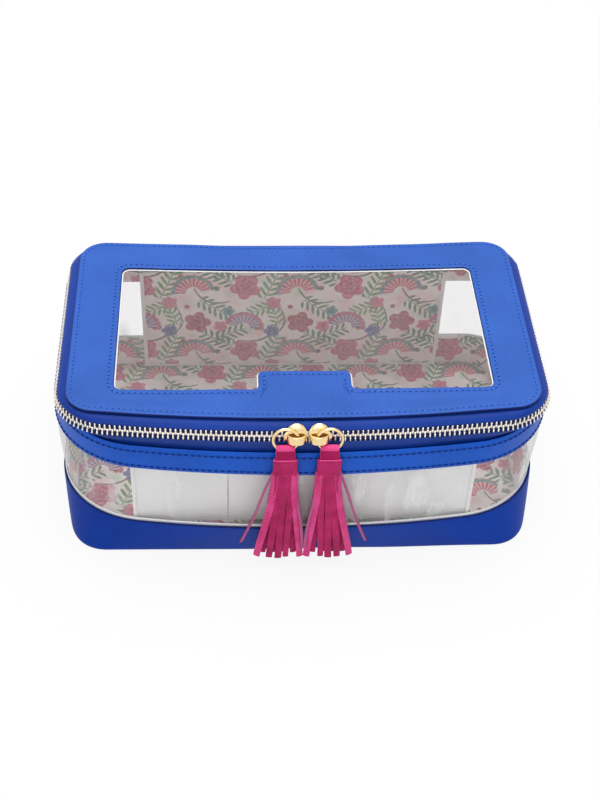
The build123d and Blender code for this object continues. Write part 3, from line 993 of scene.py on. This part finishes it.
def blockAt(name, size, middle, bevel):
    bpy.ops.mesh.primitive_cube_add(size=1)
    piece = bpy.context.object
    piece.name = piece.data.name = name
    piece.data.transform(sizedAt(size, middle))
    return shape(piece, "BEVEL", width=bevel * mm, segments=1)


def makeTooth():
    # along the zip is x, outwards y, from head to tail z
    blocks = []
    for look, size, height in toothForm["blocks"]:
        blocks.append(blockAt(look, size, (0, 0, height), 0.3))
        blocks[-1].data.materials.append(finishes[look])
    return joinPieces("tooth", blocks)


zipPoints = [
    rimPoint(
        zipStart + (wholeRun - 2 * zipStart) * n / zipForm["steps"],
        zipForm["inset"] * mm, zipForm["height"] * mm,
    )[0]
    for n in range(zipForm["steps"] + 1)
]
spots = stepAlong(zipPoints, toothForm["pitch"] * mm)
between = [(a.lerp(b, 0.5), (way + after).normalized()) for (a, way), (b, after) in zip(spots, spots[1:])]
for name, node, body, up, row in (
    ("lowerTeeth", "lower_zip_teeth", "case", -1, spots),
    ("upperTeeth", "upper_zip_teeth", "lid", 1, between),
):
    places = []
    for point, way in row:
        out = Vector((way.y, -way.x, 0))
        tail = (Vector((0, 0, cos(lean))) - out * sin(lean)) * up
        leaning = out * cos(lean) + Vector((0, 0, sin(lean)))
        side = way if leaning.cross(tail).dot(way) > 0 else -way
        places.append(turnedTo(side, leaning, tail, point))
    teeth = dress(copyAlong(name, makeTooth(), places), body, "toothTail", "toothGold")
    stand(smooth(teeth, 30), "gold_metal", node)
print("zip teeth made")

# sewn stitches: a short raised thread and the needle hole behind it, in millimetres; on the lid and the
# pocket the hole is a flat disc painted dark as shade
lidStitch = {"pitch": 3.0, "size": (1.9, 0.7, 0.5), "hole": 0.5}
bandStitch = {"pitch": 3.3, "size": (2.1, 0.8, 0.5), "hole": 0.3}
pocketStitch = {"pitch": 2.6, "size": (1.5, 0.6, 0.4), "hole": 0.35}


def sewLine(name, body, points, normals, look, form, hole="needleHole", closed=True, slot="blue_leather"):
    places, holes = [], []
    for point, way in stepAlong(points, form["pitch"] * mm, closed):
        near = min(range(len(points)), key=lambda n: (points[n] - point).length_squared)
        side = normals[near].cross(way).normalized()
        places.append(turnedTo(way, side, way.cross(side), point))
        holes.append(places[-1] @ Matrix.Translation((form["pitch"] / 2 * mm, 0, 0)))
    threads = copyAlong(name, blockAt("thread", form["size"], (0, 0, 0.05), 0.16), places)
    stand(dress(smooth(threads, 60), body, look), slot)
    bpy.ops.mesh.primitive_cylinder_add(vertices=8, radius=form["hole"] * mm, depth=0.00012)
    stand(dress(copyAlong(name + "Holes", bpy.context.object, holes), body, hole), slot)


# the lid's stitches take the lighter thread, a painted highlight; the band's take the darker one, painted
# shade
for name, kind, reach in (("lidEdgeStitches", "outer", 11.5), ("windowStitches", "window", 3.0)):
    line = lidLine(kind, reach)
    sewLine(name, "lid", onLid(line, 102.15), [Vector((0, 0, 1))] * len(line), "blueThread", lidStitch)
for name, height, inset in (("bandStitchesTop", 81.8, -0.25), ("bandStitchesFoot", 70.9, 0.12)):
    ring = [rimPoint(wholeRun * n / 400, inset * mm, height * mm) for n in range(400)]
    points = [point + out * uneven(point, 22, 0.0003) for point, out in ring]
    sewLine(name, "case", points, [out for _, out in ring], "bandThread", bandStitch, "bandLeather")
pocketLine = [Vector((-40, 0.8 - pocketForm["line"], 6 + n * 2)) * mm for n in range(36)]
sewLine("pocketStitches", "case", pocketLine, [Vector((0, -1, 0))] * len(pocketLine), "greyThread",
        pocketStitch, "greyHole", False, "printed_lining")
print("stitches sewn")

# sliders: two plates and a web hold the rows, and a bridge on the domed front holds the ring; web,
# dome and bridge each have a size and a middle
sliderForm = {
    "place": (-6.3, -79.55, 93.63),
    "outer": {"size": (11.8, 1.1, 9.4), "middle": (0, -2.75, 1.6), "corner": 2.2, "tail": 0.5},
    "inner": {"size": (11.8, 1.1, 6.0), "middle": (0, 2.25, -0.1), "corner": 1.8, "tail": 0.8},
    "web": ((4.0, 4.6, 0.4), (2.8, -0.2, 0)),
    "dome": ((5.1, 1.3, 5.5), (0.6, -2.7, 3.3)),
    "bridge": ((5.0, 4.2, 4.4), (0.6, -3.1, 0.7)),
    "wall": 0.8,
}
easing = {"segments": 2, "limit_method": "ANGLE", "angle_limit": radians(50)}


def platePiece(size, middle, corner, tail):
    # a plate whose corners are rounded and whose outer end is narrower
    bpy.ops.mesh.primitive_cube_add(size=1)
    piece = bpy.context.object
    piece.data.transform(sizedAt(size, middle))
    choose(piece, "FACE", lambda face: face.normal.x < -0.9)
    bpy.ops.transform.resize(value=(1, 1, tail), center_override=Vector(middle) * mm)
    bpy.ops.object.mode_set(mode="OBJECT")
    choose(piece, "EDGE", lambda edge: abs((edge.verts[0].co - edge.verts[1].co).normalized().y) > 0.9)
    bpy.ops.mesh.bevel(offset=corner * mm, segments=5)
    bpy.ops.object.mode_set(mode="OBJECT")
    return shape(piece, "BEVEL", width=0.00028, **easing)


def halfPiece(size, middle, cuts=0, fill=False):
    # sizes the piece just added and keeps its front half
    piece = bpy.context.object
    piece.data.transform(sizedAt(size, middle))
    choose(piece, "FACE", lambda face: True)
    if cuts:
        bpy.ops.mesh.subdivide(number_cuts=cuts)
    bpy.ops.mesh.bisect(
        plane_co=Vector(middle) * mm, plane_no=(0, 1, 0), clear_outer=True, use_fill=fill
    )
    bpy.ops.object.mode_set(mode="OBJECT")
    return piece


def makeSlider():
    f = sliderForm
    plates = [platePiece(**f[plate]) for plate in ("outer", "inner")]
    web = blockAt("web", *f["web"], 0.1)
    bpy.ops.mesh.primitive_uv_sphere_add(segments=32, ring_count=16, radius=1)
    dome = halfPiece(*f["dome"], fill=True)
    bpy.ops.mesh.primitive_cylinder_add(vertices=40, radius=1, depth=1, end_fill_type="NOTHING")
    bridge = halfPiece(*f["bridge"], cuts=2)
    shape(bridge, "SOLIDIFY", thickness=f["wall"] * mm, offset=-1)
    shape(bridge, "BEVEL", width=0.0003, **easing)
    slider = joinPieces("sliderLeft", [*plates, web, dome, bridge])
    slider.data.transform(Matrix.Translation(Vector(f["place"]) * mm) @ Matrix.Rotation(-lean, 4, "X"))
    return smooth(slider, 40)


sliderLeft = dress(makeSlider(), "slider_left", "paleGold")
for slider, side in ((sliderLeft, "left"), (mirrorPiece(sliderLeft, "sliderRight"), "right")):
    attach(slider, "slider_" + side)
    stand(slider, "gold_metal", "slider_" + side)
print("sliders made")

# the rings, stops and base board keep the source's shapes
sourceLooks = {
    "pull_ring_left": "paleGold", "pull_ring_right": "paleGold", "base_board": "greyBoard",
    "upper_zip_stop_left": "toothGold", "upper_zip_stop_right": "toothGold",
    "lower_zip_stop_left": "toothGold", "lower_zip_stop_right": "toothGold",
}
for solid in bpy.data.objects:
    if solid.name in sourceLooks:
        solid.data.materials.clear()
        solid.data.materials.append(finishes[sourceLooks[solid.name]])

# tassels: the left one is modelled, in millimetres, and the right one mirrors it
tasselForm = {
    "middle": (-11.1, -86.85, 0), "headTop": 85.39, "headFoot": 73.39, "halfWidth": 6.4, "halfDepth": 2.5,
    "strapHalf": 4.9, "loopY": 1.25, "loopZ": 91.1, "loopRadius": 1.35,
}
stripTop = tasselForm["headFoot"] + 1.5
tasselMiddle = Vector(tasselForm["middle"]) * mm


def tasselPiece(name, columns, rows, place, looks, thickness, closed=False, **settings):
    # place gives millimetres from the tassel's middle; the second look is that of the edges
    piece = bendSheet(
        name, columns, rows, lambda u, v: tasselMiddle + Vector(place(u, v)) * mm, closed=closed
    )
    dress(piece, "tassel_left", *looks)
    return thicken(piece, thickness, rim=int(len(looks) > 1), **settings)


def headPlace(u, v):
    f = tasselForm
    angle = -pi / 2 + 2 * pi * u
    swell = 1 - 0.03 * max(0, v - 0.9) / 0.1 - 0.03 * sin(pi * v) - 0.04 * max(0, 0.2 - v) / 0.2
    x = f["halfWidth"] * swell * copysign(abs(cos(angle)) ** 0.6, cos(angle))
    y = f["halfDepth"] * swell * copysign(abs(sin(angle)) ** 0.6, sin(angle))
    z = f["headFoot"] + v * (f["headTop"] - f["headFoot"] - 1.3 * (1 + sin(angle)))
    return x, y, z


def headCap(u, v):
    edge = Vector(headPlace(u, 0.9))
    return Vector((0, 0, edge.z)).lerp(edge, 0.02 + 0.94 * v) - Vector((0, 0, 0.2 * v))


# each strip: place at the head, foot, turns at both, width, curl and look
# the outer strips take the lighter pink, a painted highlight
strips = [
    ((-5.0, -1.3), (-13.4, -1.2, 10.2), (-42, -24), 4.2, 0.6, "palePink"),
    ((-3.1, -2.1), (-7.0, -1.6, 9.6), (-8, -5), 4.0, 0.25, "pinkLeather"),
    ((-0.1, -2.15), (-2.6, -1.8, 9.5), (0, 3), 4.3, -0.2, "pinkLeather"),
    ((3.0, -2.1), (2.0, -1.5, 9.8), (6, 0), 3.6, 0.3, "pinkLeather"),
    ((5.1, -1.2), (8.9, -1.0, 10.0), (30, 14), 4.1, -0.5, "palePink"),
    ((-4.4, 1.0), (-11.0, 1.5, 10.9), (-25, -10), 3.6, -0.4, "pinkLeather"),
    ((-1.6, 1.4), (-4.6, 1.4, 10.5), (-4, 0), 4.0, 0.2, "pinkLeather"),
    ((1.4, 1.4), (0.2, 1.4, 10.7), (4, 6), 4.0, 0.2, "pinkLeather"),
    ((4.2, 1.0), (5.6, 1.5, 10.4), (18, 8), 3.8, -0.3, "pinkLeather"),
]
# thin strands: where they leave the head and where they end
strands = [((-5.6, 0.6), (-22.2, 0.0, 20.5)), ((5.6, 0.3), (10.4, -2.2, 17.0))]


def hangStrip(top, foot, turns, width, curl, u, v):
    # v runs up the strip from its foot, u across it
    down = 1 - v
    spread = down**1.15
    x = top[0] + (foot[0] - top[0]) * spread + curl * sin(pi * 1.6 * down)
    y = top[1] + (foot[1] - top[1]) * spread + curl * 0.9 * sin(pi * 2.1 * down + 0.6)
    z = stripTop + (foot[2] - stripTop) * down
    turn = radians(turns[0] + (turns[1] - turns[0]) * down)
    across = (u - 0.5) * width * (1 - 0.12 * down)
    bulge = -0.3 * (1 - (2 * u - 1) ** 2)
    return (
        x + across * cos(turn) - bulge * sin(turn),
        y + across * sin(turn) + bulge * cos(turn),
        z + across * 0.1 * down * (foot[0] - top[0]) / 10,
    )


def hangStrand(top, foot, u, v):
    down = 1 - v
    x = top[0] + (foot[0] - top[0]) * down**1.05 - 0.5 * sin(2 * pi * down)
    y = top[1] + (foot[1] - top[1]) * down + 0.4 * sin(3 * pi * down)
    z = stripTop + (foot[2] - stripTop) * down
    across = (u - 0.5) * 1.5
    turn = radians(-30 + 40 * down)
    return x + across * cos(turn), y + across * sin(turn), z + 0.25 * across


def strapPlace(u, v):
    # from the back foot up over the ring's wire and down the front; the fold's ends are lower
    f = tasselForm
    side = 2 * u - 1
    x = side * f["strapHalf"] * (1 - 0.06 * sin(pi * v) ** 8)
    radius, y, z = f["loopRadius"], f["loopY"], f["loopZ"] - 0.5 * side**6
    foot = f["headTop"] - 1.0
    if v < 0.4:
        t = v / 0.4
        return x, y + radius - 2.2 * (1 - t) ** 1.5, foot + (z - foot) * t
    if v < 0.6:
        angle = (v - 0.4) / 0.2 * pi
        return x, y + radius * cos(angle), z + radius * sin(angle)
    t = (v - 0.6) / 0.4
    return x, y - radius - 1.0 * t, z + (foot - z) * t


parts = [
    tasselPiece("tasselHead", 40, 10, headPlace, ("pinkLeather", "pinkEdge"), 1.1, closed=True),
    tasselPiece("tasselCap", 40, 4, headCap, ("pinkLeather",), 1.0, closed=True, soften=False),
]
for n, (*form, look) in enumerate(strips):
    parts.append(tasselPiece("strip" + str(n), 4, 26, lambda u, v: hangStrip(*form, u, v),
                             (look, "pinkEdge"), 0.9, soften=False, angle=50))
for n, form in enumerate(strands):
    parts.append(tasselPiece("strand" + str(n), 2, 30, lambda u, v: hangStrand(*form, u, v),
                             ("pinkSuede", "suedeEdge"), 0.9, soften=False, angle=50))
tassel = stand(joinPieces("tasselLeft", parts), "pink_leather", "tassel_left")
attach(tassel, "tassel_left")

strap = tasselPiece("strapLeft", 12, 40, strapPlace, ("strapPink", "pinkEdge", "foldPink"), 0.9, offset=0)
# the top of the strap's fold is painted lighter: a painted highlight
foldHighlightFoot = (tasselForm["loopZ"] - 0.3) * mm
repaint(strap, 2, lambda face: face.material_index == 0 and face.center.z > foldHighlightFoot)
stand(strap, "pink_leather", "tassel_strap_left")

for source, name, node in (
    (tassel, "tasselRight", "tassel_right"),
    (strap, "strapRight", "tassel_strap_right"),
):
    twin = mirrorPiece(source, name)
    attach(twin, "tassel_right")
    stand(twin, "pink_leather", node)
print("tassels made")


# floor, light and world
def seen(c):
    # 1 for rays from the camera, from mirrors and through clear sheets, 0 for those that light
    paths = c.node("ShaderNodeLightPath")
    return c.maths("MAXIMUM", c.maths("MAXIMUM", paths, paths.output(3)), paths.output(6))


bpy.ops.mesh.primitive_plane_add(size=8, location=(0, 0, 0))
floor = bpy.context.object
floor.name = "studioFloor"
material, c, shader = newFinish("studioFloorFinish", Base_Color=(0.72, 0.72, 0.72, 1), Roughness=0.9)
glow = c.node("ShaderNodeEmission", None, {"Color": (1, 1, 1, 1), "Strength": 1.03})
ground = Channel(c.tree, shader.outputs[0])
blended = c.node("ShaderNodeMixShader", None, {0: seen(c) * 0.86, 1: ground, 2: glow})
feed(blended, c.tree.nodes["Material Output"], 0)
floor.data.materials.append(material)

world = bpy.data.worlds.new("studio")
world.use_nodes = True
bpy.context.scene.world = world
background = world.node_tree.nodes["Background"]
background.inputs[0].default_value = (1, 1, 1, 1)
feed(seen(Channel(world.node_tree)) * 0.55 + 0.45, background, 1)

for name, spot, size, power in (
    ("overhead", (0.0, 0.25, 1.6), 1.6, 22),
    ("frontFill", (-0.1, -1.5, 0.9), 1.2, 7.4),
):
    light = bpy.data.lights.new(name, "AREA")
    light.size = size
    light.energy = power
    lamp = bpy.data.objects.new(name, light)
    lamp.location = spot
    lamp.rotation_euler = (Vector((0, 0, 0.05)) - Vector(spot)).to_track_quat("-Z", "Y").to_euler()
    bpy.context.collection.objects.link(lamp)
print("lights set")
